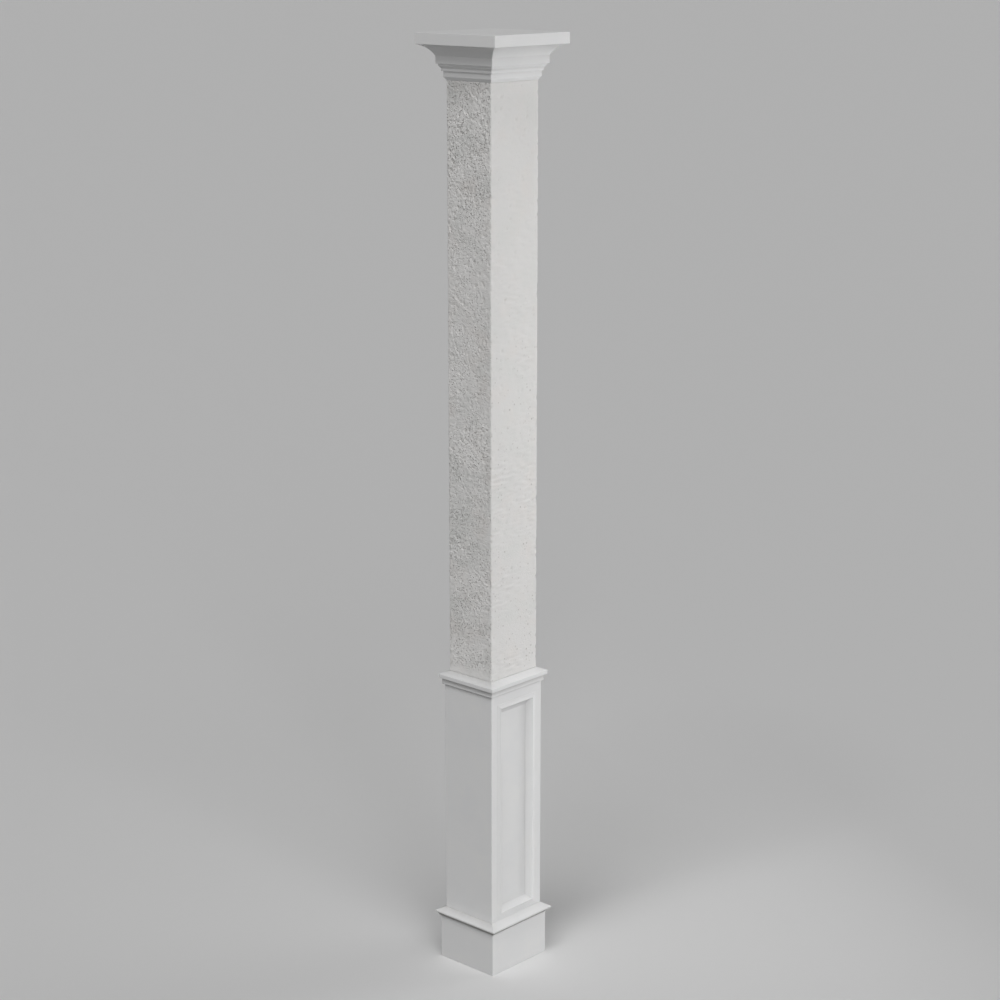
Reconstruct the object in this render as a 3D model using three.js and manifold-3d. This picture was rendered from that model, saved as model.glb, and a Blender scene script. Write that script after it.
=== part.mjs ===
// A square-built porch column: moulded base, panelled pedestal, plastered shaft and moulded capital.
// Millimetres, +Z up. The origin is the centre of the underside, and the panelled face looks along -Y.

import * as THREE from "three";
import { mergeVertices } from "three/addons/utils/BufferGeometryUtils.js";
import Module from "manifold-3d";

const wasm = await Module();
wasm.setup();

// Plans: width along X and depth along Y. A moulding's plan is taken over its widest edge.
const SHAFT_PLAN = { width: 195, depth: 165.4 };
const PEDESTAL_CAP_PLAN = { width: 242, depth: 214 };
const PLINTH_CAP_PLAN = { width: 257, depth: 238.6 };
const ABACUS_PLAN = { width: 305, depth: 297 };

// A reach runs from 0 at a moulding's inner plan to 1 at its outer plan.
const PEDESTAL_REACH = 0.43; // pedestal face, from the shaft to the pedestal cap
const PLINTH_REACH = 0.475; // plinth face, from the pedestal to the plinth cap
const PEDESTAL_PLAN = planAt(SHAFT_PLAN, PEDESTAL_CAP_PLAN, PEDESTAL_REACH);
const PLINTH_PLAN = planAt(PEDESTAL_PLAN, PLINTH_CAP_PLAN, PLINTH_REACH);

// Heights of the pieces, from the ground up.
const PLINTH_HEIGHT = 129.5;
const PLINTH_CAP_HEIGHT = 32;
const PEDESTAL_HEIGHT = 708;
const PEDESTAL_CAP_HEIGHT = 40.3;
const SHAFT_HEIGHT = 1705.7;
const CAPITAL_HEIGHT = 97.5;
const ABACUS_HEIGHT = 32;

// Plinth cap: heights above its underside, with the reach of each break.
const BASE_CHAMFER = { reach: 0.64, top: 5 };
const BASE_COVE_PULL = { reach: 0.7, height: 11.5 };
const BASE_NOSE = { underside: 14.4, top: 18.6 };

// Pedestal cap: a fillet under a slab, and the slope from the slab to the shaft.
const BELT_FILLET_REACH = 0.675;
const BELT_SLAB = { underside: 18.4, top: 30 };

// Capital: heights above its underside, with the reach of each band.
const NECK_BAND = { reach: 0.1045, underside: 9.5, top: 25 };
const NECK_FILLET = { reach: 0.1765, top: 32.8 };
const QUIRK = { reach: 0.272, underside: 39.4 };
const FASCIA = { reach: 0.3545, underside: 44.8, top: 66 };
const COVE_PULL = { reach: 0.572, height: 91.2 };

// Front panel: the moulding's margins on the pedestal face, and its section measured inwards and outwards.
const PANEL_STILE = 25;
const PANEL_TOP_RAIL = 30.7;
const PANEL_FOOT_RAIL = 9.2;
const PANEL_DEPTH = 11.9;
const MOULDING_TOE = 0.5;
const MOULDING_LIP = { start: 13, end: 14, height: 3.4 };
const MOULDING_WIDTH = 32.6;
const MOULDING_FLARE_PULL = { inset: 9, height: 0.9 };
const MOULDING_SLOPE_PULL = { inset: 20.5, height: -7 };
const REBATE_INSET = 7;
const JOINT_GAP = 0.3;

// Back panel: the same opening, plainer, sunk with a bevelled edge and no moulding.
const BACK_PANEL_DEPTH = 6;
const BACK_PANEL_BEVEL = 12;

const CURVE_STEPS = 8;

// The plan at a given reach between an inner and an outer plan.
function planAt(inner, outer, reach) {
  return {
    width: THREE.MathUtils.lerp(inner.width, outer.width, reach),
    depth: THREE.MathUtils.lerp(inner.depth, outer.depth, reach),
  };
}

// The points of a drawn profile, with no point given twice.
function profilePoints(path) {
  const points = path.getPoints(CURVE_STEPS);
  return points.filter((point, i) => i === 0 || point.distanceTo(points[i - 1]) > 1e-6);
}

// Two triangles for each side of the band between two rings of four corners.
function bandTriangles(lower, upper) {
  const triangles = [];
  for (let side = 0; side < 4; side += 1) {
    const next = (side + 1) % 4;
    triangles.push(lower + side, lower + next, upper + next);
    triangles.push(lower + side, upper + next, upper + side);
  }
  return triangles;
}

// The four corners of a rectangle centred on the Z axis, counter-clockwise from above.
function rectangleCorners(width, depth, z) {
  const x = width / 2;
  const y = depth / 2;
  return [-x, -y, z, x, -y, z, x, y, z, -x, y, z];
}

function indexedGeometry(positions, triangles) {
  const geometry = new THREE.BufferGeometry();
  geometry.setAttribute("position", new THREE.Float32BufferAttribute(positions, 3));
  geometry.setIndex(triangles);
  geometry.computeVertexNormals();
  return geometry;
}

// A closed solid through a stack of rectangles, each { width, depth, z }, from the bottom up.
function stackGeometry(levels) {
  const positions = levels.flatMap(({ width, depth, z }) => rectangleCorners(width, depth, z));
  const top = 4 * (levels.length - 1);
  const triangles = [0, 2, 1, 0, 3, 2, top, top + 1, top + 2, top, top + 2, top + 3];
  for (let ring = 0; ring < top; ring += 4) {
    triangles.push(...bandTriangles(ring, ring + 4));
  }
  return indexedGeometry(positions, triangles);
}

// A moulding run round all four sides: its profile is drawn as reach across and height up.
function mouldingGeometry(inner, outer, profile) {
  const levels = profilePoints(profile).map((point) => ({ ...planAt(inner, outer, point.x), z: point.y }));
  return stackGeometry(levels);
}

// A mitred frame in the XY plane: its closed section is drawn as inset across and height up.
function frameGeometry(width, depth, section) {
  const points = profilePoints(section);
  const positions = points.flatMap((point) =>
    rectangleCorners(width - 2 * point.x, depth - 2 * point.x, point.y),
  );
  const triangles = points.flatMap((_, i) => bandTriangles(4 * i, 4 * ((i + 1) % points.length)));
  return indexedGeometry(positions, triangles);
}

// A block that stands on z = 0.
function blockGeometry(plan, height) {
  return new THREE.BoxGeometry(plan.width, plan.depth, height).translate(0, 0, height / 2);
}

function solidOf(geometry) {
  const bare = geometry.clone();
  bare.deleteAttribute("normal");
  bare.deleteAttribute("uv");
  const merged = mergeVertices(bare);
  return new wasm.Manifold(
    new wasm.Mesh({
      numProp: 3,
      vertProperties: merged.attributes.position.array,
      triVerts: new Uint32Array(merged.index.array),
    }),
  );
}

function geometryOf(solid) {
  const mesh = solid.getMesh();
  return indexedGeometry(Array.from(mesh.vertProperties), Array.from(mesh.triVerts));
}

// Base: chamfer and cove under a thin nose, then a weathering slope up to the pedestal.
function plinthCapProfile() {
  const path = new THREE.Path();
  path.moveTo(PLINTH_REACH, 0);
  path.lineTo(BASE_CHAMFER.reach, BASE_CHAMFER.top);
  path.quadraticCurveTo(BASE_COVE_PULL.reach, BASE_COVE_PULL.height, 1, BASE_NOSE.underside);
  path.lineTo(1, BASE_NOSE.top);
  path.lineTo(0, PLINTH_CAP_HEIGHT);
  return path;
}

// Belt: a fillet, a slab that oversails it, and a weathering slope up to the shaft.
function pedestalCapProfile() {
  const path = new THREE.Path();
  path.moveTo(BELT_FILLET_REACH, 0);
  path.lineTo(BELT_FILLET_REACH, BELT_SLAB.underside);
  path.lineTo(1, BELT_SLAB.underside);
  path.lineTo(1, BELT_SLAB.top);
  path.lineTo(0, PEDESTAL_CAP_HEIGHT);
  return path;
}

// Capital: neck chamfer and band, fillet, slope, quirk and fascia, then the cove under the abacus.
function capitalProfile() {
  const path = new THREE.Path();
  path.moveTo(0, 0);
  path.lineTo(NECK_BAND.reach, NECK_BAND.underside);
  path.lineTo(NECK_BAND.reach, NECK_BAND.top);
  path.lineTo(NECK_FILLET.reach, NECK_BAND.top);
  path.lineTo(NECK_FILLET.reach, NECK_FILLET.top);
  path.lineTo(QUIRK.reach, QUIRK.underside);
  path.lineTo(QUIRK.reach, FASCIA.underside);
  path.lineTo(FASCIA.reach, FASCIA.underside);
  path.lineTo(FASCIA.reach, FASCIA.top);
  path.quadraticCurveTo(COVE_PULL.reach, COVE_PULL.height, 1, CAPITAL_HEIGHT);
  return path;
}

// Panel moulding: a flare from the stile to the proud lip, a hollow slope to the panel, and a rebate behind.
function panelMouldingSection() {
  const back = JOINT_GAP - PANEL_DEPTH;
  const rebate = REBATE_INSET + JOINT_GAP;
  const path = new THREE.Path();
  path.moveTo(0, 0);
  path.lineTo(0, MOULDING_TOE);
  path.quadraticCurveTo(
    MOULDING_FLARE_PULL.inset,
    MOULDING_FLARE_PULL.height,
    MOULDING_LIP.start,
    MOULDING_LIP.height,
  );
  path.lineTo(MOULDING_LIP.end, MOULDING_LIP.height);
  path.quadraticCurveTo(MOULDING_SLOPE_PULL.inset, MOULDING_SLOPE_PULL.height, MOULDING_WIDTH, back);
  path.lineTo(rebate, back);
  path.lineTo(rebate, 0);
  return path;
}

// The outline of the panel moulding on the pedestal, and its middle above the pedestal's foot.
const MOULDING_OUTLINE = {
  width: PEDESTAL_PLAN.width - 2 * PANEL_STILE,
  depth: PEDESTAL_HEIGHT - PANEL_TOP_RAIL - PANEL_FOOT_RAIL,
};
const PANEL_MIDDLE = PANEL_FOOT_RAIL + MOULDING_OUTLINE.depth / 2;
const PEDESTAL_FACE = PEDESTAL_PLAN.depth / 2;

// A cutter that goes in from the pedestal's face: outline inset at the face and at its floor.
function panelCutter(faceInset, floorInset, depth) {
  const rectangle = (inset, z) => ({
    width: MOULDING_OUTLINE.width - 2 * inset,
    depth: MOULDING_OUTLINE.depth - 2 * inset,
    z,
  });
  const slope = (floorInset - faceInset) / depth;
  const clearance = 1;
  return stackGeometry([
    rectangle(floorInset, -depth),
    rectangle(faceInset - slope * clearance, clearance),
  ]);
}

// Turns a shape drawn in the XY plane to stand on the front face of the pedestal.
function ontoFront(geometry) {
  return geometry.rotateX(Math.PI / 2).translate(0, -PEDESTAL_FACE, PANEL_MIDDLE);
}

function ontoBack(geometry) {
  return ontoFront(geometry).rotateZ(Math.PI);
}

function pedestalGeometry() {
  const frontCut = ontoFront(panelCutter(REBATE_INSET, REBATE_INSET, PANEL_DEPTH));
  const backInset = MOULDING_LIP.start;
  const backCut = ontoBack(panelCutter(backInset, backInset + BACK_PANEL_BEVEL, BACK_PANEL_DEPTH));
  const block = solidOf(blockGeometry(PEDESTAL_PLAN, PEDESTAL_HEIGHT));
  return geometryOf(block.subtract(solidOf(frontCut)).subtract(solidOf(backCut)));
}

function panelMouldingGeometry() {
  const frame = frameGeometry(MOULDING_OUTLINE.width, MOULDING_OUTLINE.depth, panelMouldingSection());
  return ontoFront(frame);
}

function whitePaint() {
  return new THREE.MeshStandardMaterial({ color: 0xe9e9e7, roughness: 0.45, metalness: 0 });
}

function roughPlaster() {
  return new THREE.MeshStandardMaterial({ color: 0xe2dfd9, roughness: 0.9, metalness: 0 });
}

const column = new THREE.Group();

// Sets a piece at its height on the column's axis.
function place(name, geometry, material, z) {
  const mesh = new THREE.Mesh(geometry, material);
  mesh.name = name;
  mesh.position.z = z;
  column.add(mesh);
}

const PLINTH_CAP_FOOT = PLINTH_HEIGHT;
const PEDESTAL_FOOT = PLINTH_CAP_FOOT + PLINTH_CAP_HEIGHT;
const PEDESTAL_CAP_FOOT = PEDESTAL_FOOT + PEDESTAL_HEIGHT;
const SHAFT_FOOT = PEDESTAL_CAP_FOOT + PEDESTAL_CAP_HEIGHT;
const CAPITAL_FOOT = SHAFT_FOOT + SHAFT_HEIGHT;
const ABACUS_FOOT = CAPITAL_FOOT + CAPITAL_HEIGHT;

place("plinth", blockGeometry(PLINTH_PLAN, PLINTH_HEIGHT), whitePaint(), 0);
place(
  "plinth_cap",
  mouldingGeometry(PEDESTAL_PLAN, PLINTH_CAP_PLAN, plinthCapProfile()),
  whitePaint(),
  PLINTH_CAP_FOOT,
);
place("pedestal", pedestalGeometry(), whitePaint(), PEDESTAL_FOOT);
place("panel_moulding", panelMouldingGeometry(), whitePaint(), PEDESTAL_FOOT);
place(
  "pedestal_cap",
  mouldingGeometry(SHAFT_PLAN, PEDESTAL_CAP_PLAN, pedestalCapProfile()),
  whitePaint(),
  PEDESTAL_CAP_FOOT,
);
place("shaft", blockGeometry(SHAFT_PLAN, SHAFT_HEIGHT), roughPlaster(), SHAFT_FOOT);
place("capital", mouldingGeometry(SHAFT_PLAN, ABACUS_PLAN, capitalProfile()), whitePaint(), CAPITAL_FOOT);
place("abacus", blockGeometry(ABACUS_PLAN, ABACUS_HEIGHT), whitePaint(), ABACUS_FOOT);

export default column;
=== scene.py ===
"""Builds the looks of a square porch column: painted joinery and a rough-plastered shaft on a pale floor."""

import itertools
import math

import bpy
import numpy as np
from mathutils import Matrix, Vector


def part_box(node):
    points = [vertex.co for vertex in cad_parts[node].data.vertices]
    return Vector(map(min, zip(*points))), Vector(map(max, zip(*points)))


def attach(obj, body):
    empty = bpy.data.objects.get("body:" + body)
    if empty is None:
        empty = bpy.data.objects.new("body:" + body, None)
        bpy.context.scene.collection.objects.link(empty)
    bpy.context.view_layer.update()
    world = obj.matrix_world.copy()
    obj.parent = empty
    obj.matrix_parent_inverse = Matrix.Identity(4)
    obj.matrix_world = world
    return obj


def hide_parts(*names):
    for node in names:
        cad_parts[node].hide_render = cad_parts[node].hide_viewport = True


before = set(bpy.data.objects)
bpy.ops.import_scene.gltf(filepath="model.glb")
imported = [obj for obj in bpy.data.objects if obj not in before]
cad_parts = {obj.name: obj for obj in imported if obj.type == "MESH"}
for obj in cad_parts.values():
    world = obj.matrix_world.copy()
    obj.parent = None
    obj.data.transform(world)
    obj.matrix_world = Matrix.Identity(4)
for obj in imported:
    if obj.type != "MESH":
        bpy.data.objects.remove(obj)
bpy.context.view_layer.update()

bl_info = {
    "name": "Square Porch Column",
    "version": (1, 0, 0),
    "blender": (4, 5, 0),
    "location": "3D View > Sidebar > Column",
    "description": "Builds a porch column of painted joinery with a rough-plastered shaft",
    "category": "Add Mesh",
}

MM = 0.001

# Mouldings: reach runs from the inner plan (0) to the outer plan (1), and heights are in millimetres.
PLINTH_REACH = 0.475
BASE_CHAMFER = (0.64, 5.0)
BASE_COVE_PULL = (0.7, 11.5)
BASE_NOSE_UNDERSIDE = 14.4
BASE_NOSE_TOP = 18.6

BELT_FILLET_REACH = 0.675
BELT_SLAB_UNDERSIDE = 18.4
BELT_SLAB_TOP = 30.0

NECK_BAND_REACH = 0.1045
NECK_BAND_UNDERSIDE = 9.5
NECK_BAND_TOP = 25.0
NECK_FILLET_REACH = 0.1765
NECK_FILLET_TOP = 32.8
QUIRK_REACH = 0.272
QUIRK_UNDERSIDE = 39.4
FASCIA_REACH = 0.3545
FASCIA_UNDERSIDE = 44.8
FASCIA_TOP = 66.0
COVE_PULL = (0.572, 91.2)

# Panels: margins on the pedestal's faces, depths and the moulding's section, in millimetres.
PANEL_STILE = 25.0
PANEL_TOP_RAIL = 30.7
PANEL_FOOT_RAIL = 9.2
PANEL_DEPTH = 11.9
PANEL_FLOOR_REACH = 30.0
MOULDING_TOE = 0.5
MOULDING_LIP_START = 13.0
MOULDING_LIP_END = 14.0
MOULDING_LIP_HEIGHT = 3.4
MOULDING_WIDTH = 32.6
MOULDING_FLARE_PULL = (9.0, 0.9)
MOULDING_SLOPE_PULL = (20.5, -7.0)
MOULDING_EASING = 0.5
REBATE_INSET = 7.0
JOINT_GAP = 0.3
BACK_PANEL_DEPTH = 6.0
BACK_PANEL_BEVEL = 12.0
BACK_FLOOR_REACH = 4.0

# Mesh fineness: steps in each curve, and hold points that keep the shading on the corners.
CURVE_STEPS = 16
EASING_STEPS = 4
SMALLEST_CORNER = math.radians(20)
LARGEST_TRIM = 0.4
HOLD_DISTANCE = 1.2 * MM
LONG_STRETCH = 4 * HOLD_DISTANCE
LARGEST_HOLD = 0.1
SECOND_HOLD = 3
BLOCK_CAP_INSET = 6 * MM
MITRE_SEAM = 0.3 * MM
MITRE_SEAM_DEPTH = 0.2 * MM
MITRE_HOLD = 5 * MITRE_SEAM
FACE_BLEND = (0.3, 0.9)

# Painted shade in the joinery's inner corners, under the belt and on the ledges by the wall: how far it
# reaches out of the corners, and its share in each place.
HOLLOW_FADE = 2.4 * MM
JOINT_SHADE = 2.6 * MM
CAPITAL_SHADE = 0.1
PANEL_SHADE = 0.2
CLEAN_NOSE_STEPS = 5
LEDGE_SHADE_AT_WALL = 0.44
LEDGE_SHADE_AT_NOSE = 0.04
LEDGE_SHADE_FALLOFF = 1.5
LEDGE_SHADE_FRONT = 0.35
LEDGE_SHADE_HIDDEN = 0.6

# Plaster mesh: cells across the right, back, left and front faces, and rows up the shaft.
PLASTER_CELLS = (6.5 * MM, 6.5 * MM, 2.5 * MM, 3.6 * MM)
PLASTER_ROW = 3.3 * MM
END_FADE = 20 * MM
# Painted shade grows in the plaster's pits from the first depth to the second.
SHADED_PIT_DEPTHS = (0.4 * MM, 2.2 * MM)
ARRIS_DIAGONAL = 0.45

# Plaster noises: each has its wavelength in metres and its seed.
NOISE_CELLS = 256
NOISE_GAIN = 1.6
BROAD_PATCHES = (0.11, 21)
SMALL_PATCHES = (0.045, 22)
SMALL_PATCH_SHARE = 0.6
BROAD_WAVES = (0.16, 11)
SMALL_WAVES = (0.06, 12)
SMALL_WAVE_SHARE = 0.5
WAVE_GAIN = 0.6
FINE_GRAIN = (0.0045, 31)
COARSE_GRAIN = (0.009, 32)
COARSE_GRAIN_SHARE = 0.4
GRAIN_DIPS = 1.4
GRAIN_RISES = 0.6
GRAIN_SLANT = math.radians(55)
GRAIN_STRETCH = 1.3
STROKES = (0.008, 41)
STROKE_STRETCH = 4
STROKE_PATCHES = (0.13, 42)
STROKE_PATCH_RANGE = (-0.8, 0.5)
STROKES_LOST_IN_GRAIN = 0.4
STROKES_LOST_AT_HEAD = 0.6

# Plaster roughness: rise runs from the shaft's foot (0) to its head (1).
LEAST_ROUGH = 0.6
PATCH_ROUGH = 0.55
PATCH_RANGE = (-0.45, 0.15)
HEAD_ROUGH = 0.2
HEAD_RANGE = (0.5, 0.97)
TROWELLED_RISE = 0.62
TROWELLED_SPAN = 0.18
TROWELLED_LOSS = 0.35
FOOT_ROUGH = 0.3
FOOT_FADE = 50 * MM

# Trowel sweeps, pits and chips: ranges that each one is drawn from.
SWEEP_SEED = 78
SWEEP_RADII = (0.09, 0.24)
SWEEP_HEADINGS_DEG = (200, 245)
SWEEP_HALF_SPANS = (0.2, 0.45)
SWEEP_WIDTHS_MM = (2.0, 2.8)
SWEEP_STRENGTHS = (0.4, 1.0)
SWEEP_MARGIN = 4
SWEEP_GROOVE = 0.9
SWEEP_GROOVE_OFFSET = 1.7
SWEEP_FADE = (0.55, 1.0)
PIT_SEED = 77
PIT_DEPTHS_MM = (0.6, 2.2)
PIT_RADII_MM = (4.5, 7.5)
PIT_FACE_POWER = 0.25
PIT_WALL = (0.2, 1.0)
CHIP_DEPTHS_MM = (0.8, 2.4)
CHIP_RADII_MM = (4.5, 9.0)

# Shared effects: the noises that drive them, and the parts of those noises that show.
PALE_GREY = (0.8, 0.8, 0.8, 1.0)
DRIFT_DETAIL = 3.0
DRIFT_ROUGHNESS = 0.55
DRIFT_RANGE = (0.48, 0.68)
GRAIN_DETAIL = 2.0
GRAIN_ROUGHNESS = 0.6
# These noises break up the painted shade and dust in the hollows.
SHADE_DUST_PATCHES = 60.0
SHADE_DUST_DETAIL = 4.0
SHADE_DUST_ROUGHNESS = 0.6
SHADE_DUST_RANGE = (0.3, 0.7)
LEAST_SHADE_DUST = 0.7

# Paint: tints scale its own colour, and strokes and stipple are counted along each axis in a metre.
PAINT_TINTS = ((1.012, 1.010, 1.003), (0.982, 0.984, 0.988))
# Painted shade in the paint's creases: its dark tint and its strength.
PAINT_SHADE_TINT = (0.34, 0.33, 0.31)
PAINT_SHADE = 0.95
PAINT_PATCHES = 9.0
BRUSH_STROKES = {"level": (14.0, 14.0, 900.0), "upright": (900.0, 900.0, 14.0)}
STIPPLE = (420.0, 420.0, 420.0)
STIPPLE_HEIGHT = 0.6
STROKE_HEIGHTS = (0.3, 0.7)
SHEEN_VARIATION = 0.05
DUSTY_ROUGHNESS = 0.2
PAINT_SPECULAR = 0.35

# Plaster finish: tints scale its own colour, grain and pits are counted in a metre, heights are in metres.
BARE_POWER = 2.0
# The rough plaster's ground is painted lighter, to offset the shade that its own relief casts.
ROUGH_LIGHTENING_TINT = (1.14, 1.14, 1.14)
PLASTER_TINTS = ((1.01, 0.995, 0.985), (0.98, 0.99, 0.985))
# Painted shade in the plaster: the tint in its deeper pits, the tint in its fine and stray pits, and the
# amount in its deeper pits.
PLASTER_SHADE_TINT = (0.62, 0.59, 0.55)
PIT_SHADE_TINT = (0.72, 0.705, 0.69)
PLASTER_SHADE = 0.35
PLASTER_PATCHES = 11.0
SAND_GRAIN = (290.0, 290.0, 290.0)
FINE_PITS = 150.0
FINE_PIT_EDGE = (0.34, 0.14)
FINE_PIT_RELIEF = -0.8
# Stray pits are colour only: dots of painted shade.
STRAY_PIT_EDGE = (0.52, 0.3)
STRAY_PIT_PICK = (0.92, 1.0)
STRAY_PIT_HEIGHTS = (2.1, 1.75)
PLASTER_BUMP = 2.4 * MM
PLASTER_ROUGHNESS = (0.78, 0.95)
PLASTER_SPECULAR = 0.25

# Lights: azimuth from the front, elevation and spread in degrees, and distances and sizes in metres.
SOFT_LIGHTS = {
    "key_light": (-40, 30, 24),
    "high_light": (-20, 45, 24),
    "raking_light": (-75, 60, 24),
    "left_light": (-60, -15, 50),
    "front_light": (30, -15, 50),
    "right_light": (80, -15, 50),
    "back_light": (160, -15, 50),
}
LAMP_DISTANCE = 6
LIGHT_PANEL_AZIMUTH_DEG = 60
LIGHT_PANEL_HEIGHT = 1.7
LIGHT_PANEL_DISTANCE = 1.6
LIGHT_PANEL_SIZE = (0.8, 1.2)

# Floor and backdrop: the tones that they show, and the dim ones that they light the column with.
FLOOR_HALF_SIZE = 150.0
FLOOR_DROP = 0.3 * MM
FLOOR_BOUNCE = 0.12
BACKDROP_SEEN = 0.42
BACKDROP_BOUNCE = 0.02

# Camera at the photograph's viewing angle.
CAMERA_PLACE = (-4.6543, -4.2857, 3.0436)
CAMERA_TURN_DEG = (75.6169, 0.0, -47.5453)
CAMERA_LENS_MM = 81.522
CAMERA_SENSOR_MM = 36.0
CAMERA_FAR_END = 500.0


# Properties

class PaintFinish(bpy.types.PropertyGroup):
    """White paint of the joinery."""

    colour: bpy.props.FloatVectorProperty(
        name="Paint colour", description="Colour of the white paint",
        subtype="COLOR", min=0.0, max=1.0, default=(0.80, 0.80, 0.80),
    )
    roughness: bpy.props.FloatProperty(
        name="Paint roughness", description="Roughness of the satin paint",
        subtype="FACTOR", min=0.0, max=1.0, default=0.5,
    )
    arris: bpy.props.FloatProperty(
        name="Arris easing", description="Radius that sanding and paint leave on the edges",
        subtype="DISTANCE", unit="LENGTH", default=1.0 * MM,
    )
    brush_depth: bpy.props.FloatProperty(
        name="Brush mark depth", description="Height of the brush marks in the paint",
        subtype="DISTANCE", unit="LENGTH", default=0.05 * MM,
    )


class PlasterFinish(bpy.types.PropertyGroup):
    """Rough plaster of the shaft."""

    colour: bpy.props.FloatVectorProperty(
        name="Plaster colour", description="Colour of the plaster",
        subtype="COLOR", min=0.0, max=1.0, default=(0.785, 0.776, 0.764),
    )
    grain_depth: bpy.props.FloatProperty(
        name="Grain depth", description="Height of the coarse grain where the plaster is left rough",
        subtype="DISTANCE", unit="LENGTH", default=1.5 * MM,
    )
    stroke_depth: bpy.props.FloatProperty(
        name="Stroke depth", description="Height of the faint level strokes of the float",
        subtype="DISTANCE", unit="LENGTH", default=1.6 * MM,
    )
    sweep_depth: bpy.props.FloatProperty(
        name="Sweep depth", description="Height of the ridges that the trowel's sweeps leave",
        subtype="DISTANCE", unit="LENGTH", default=0.9 * MM,
    )
    wave_depth: bpy.props.FloatProperty(
        name="Wave depth", description="Height of the broad unevenness of the faces",
        subtype="DISTANCE", unit="LENGTH", default=0.5 * MM,
    )
    sweeps: bpy.props.IntProperty(
        name="Sweeps", description="Number of trowel sweeps over the whole shaft", min=0, default=110
    )
    pits: bpy.props.IntProperty(
        name="Pits", description="Number of deeper pits over the whole shaft", min=0, default=700
    )
    chips: bpy.props.IntProperty(
        name="Chips", description="Number of chips along the four arrises", min=0, default=70
    )
    front_relief: bpy.props.FloatProperty(
        name="Front relief", description="Share of the relief left on the closer trowelled front face",
        subtype="FACTOR", min=0.0, max=1.0, default=0.14,
    )
    hidden_relief: bpy.props.FloatProperty(
        name="Hidden relief", description="Share of the relief left on the plainer right and back faces",
        subtype="FACTOR", min=0.0, max=1.0, default=0.55,
    )
    arris: bpy.props.FloatProperty(
        name="Arris radius", description="Radius of the plaster's worn arrises",
        subtype="DISTANCE", unit="LENGTH", default=2.5 * MM,
    )


class StudioStage(bpy.types.PropertyGroup):
    """Floor and lights."""

    floor_colour: bpy.props.FloatVectorProperty(
        name="Floor colour", description="Colour of the plain floor",
        subtype="COLOR", min=0.0, max=1.0, default=(0.80, 0.80, 0.80),
    )
    key_light: bpy.props.FloatProperty(
        name="Key light", description="Strength of the main light, over the camera", min=0.0, default=0.62
    )
    high_light: bpy.props.FloatProperty(
        name="High light", description="Strength of the high light from the front", min=0.0, default=0.475
    )
    raking_light: bpy.props.FloatProperty(
        name="Raking light", description="Strength of the high light that rakes down the left side",
        min=0.0, default=1.1,
    )
    left_light: bpy.props.FloatProperty(
        name="Left light", description="Strength of the broad low light from the left",
        min=0.0, default=0.64,
    )
    front_light: bpy.props.FloatProperty(
        name="Front light", description="Strength of the broad low light from the front",
        min=0.0, default=0.57,
    )
    right_light: bpy.props.FloatProperty(
        name="Right light", description="Strength of the broad low light from the right",
        min=0.0, default=1.5,
    )
    back_light: bpy.props.FloatProperty(
        name="Back light", description="Strength of the broad low light from behind", min=0.0, default=0.6
    )
    panel_light: bpy.props.FloatProperty(
        name="Light panel", description="Strength of the near upright light panel at the front right",
        min=0.0, default=0.915,
    )


# Places and sizes from the frame

def plan(node):
    """Width and depth of a CAD node, in metres."""
    low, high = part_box(node)
    return np.array([high.x - low.x, high.y - low.y])


def foot(node):
    """Height of a CAD node's underside."""
    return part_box(node)[0].z


def head(node):
    """Height of a CAD node's top."""
    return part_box(node)[1].z


# Profiles

def bend(start, pull, end, steps):
    """Points along a curve from start to end that is drawn towards a pull point."""
    return [(1 - t) ** 2 * start + 2 * t * (1 - t) * pull + t**2 * end for t in np.linspace(0, 1, steps + 1)]


class Profile:
    """A profile drawn from point to point, with straight lines, curves and weathering slopes."""

    def __init__(self, *start):
        self.points = [np.array(start, float)]
        self.hollows = []
        self.ledge_foot = math.inf

    def line(self, *end):
        """A straight line."""
        self.points.append(np.array(end, float))
        return self

    def curve(self, pull, *end, shaded=False):
        """A curve drawn towards a pull point, with painted shade in it up to its nose if it is a shaded
        hollow.
        """
        self.points += bend(self.points[-1], np.array(pull, float), np.array(end, float), CURVE_STEPS)[1:]
        if shaded:
            self.hollows += self.points[-CURVE_STEPS:-CLEAN_NOSE_STEPS]
        return self

    def slope(self, *end):
        """A weathering slope up to a wall, in steps, so that dust can thin out along it."""
        start = self.points[-1]
        end = np.array(end, float)
        self.ledge_foot = start[1]
        for t in np.linspace(0, 1, CURVE_STEPS + 1)[1:]:
            self.points.append((1 - t) * start + t * end)
        return self

    def scaled(self, across, up):
        """The points, scaled to metres."""
        return np.array(self.points) * (across, up)


def turn_at(before, point, after):
    """How far a profile turns at a point, positive to the left."""
    arriving = point - before
    leaving = after - point
    cross = arriving[0] * leaving[1] - arriving[1] * leaving[0]
    return math.atan2(cross, float(np.dot(arriving, leaving)))


def eased(points, radius, closed=False, shaded=()):
    """The profile with each real corner rounded, and how deep in a hollow each point lies."""
    rounded = []
    hollows = list(shaded)
    count = len(points)
    for i, point in enumerate(points):
        before = points[i - 1]
        after = points[(i + 1) % count]
        at_end = not closed and i in (0, count - 1)
        turn = 0.0 if at_end else turn_at(before, point, after)
        if abs(turn) < SMALLEST_CORNER:
            rounded.append(point)
            continue
        # An inner corner gathers painted shade.
        if turn < 0:
            hollows.append(point)
        length_before = np.linalg.norm(before - point)
        length_after = np.linalg.norm(after - point)
        trim = min(
            radius * math.tan(abs(turn) / 2), LARGEST_TRIM * length_before, LARGEST_TRIM * length_after
        )
        start = point + (before - point) / length_before * trim
        end = point + (after - point) / length_after * trim
        rounded += bend(start, point, end, EASING_STEPS)
    rounded = held(np.array(rounded), closed)
    return rounded, hollow_depth(rounded, hollows)


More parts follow.
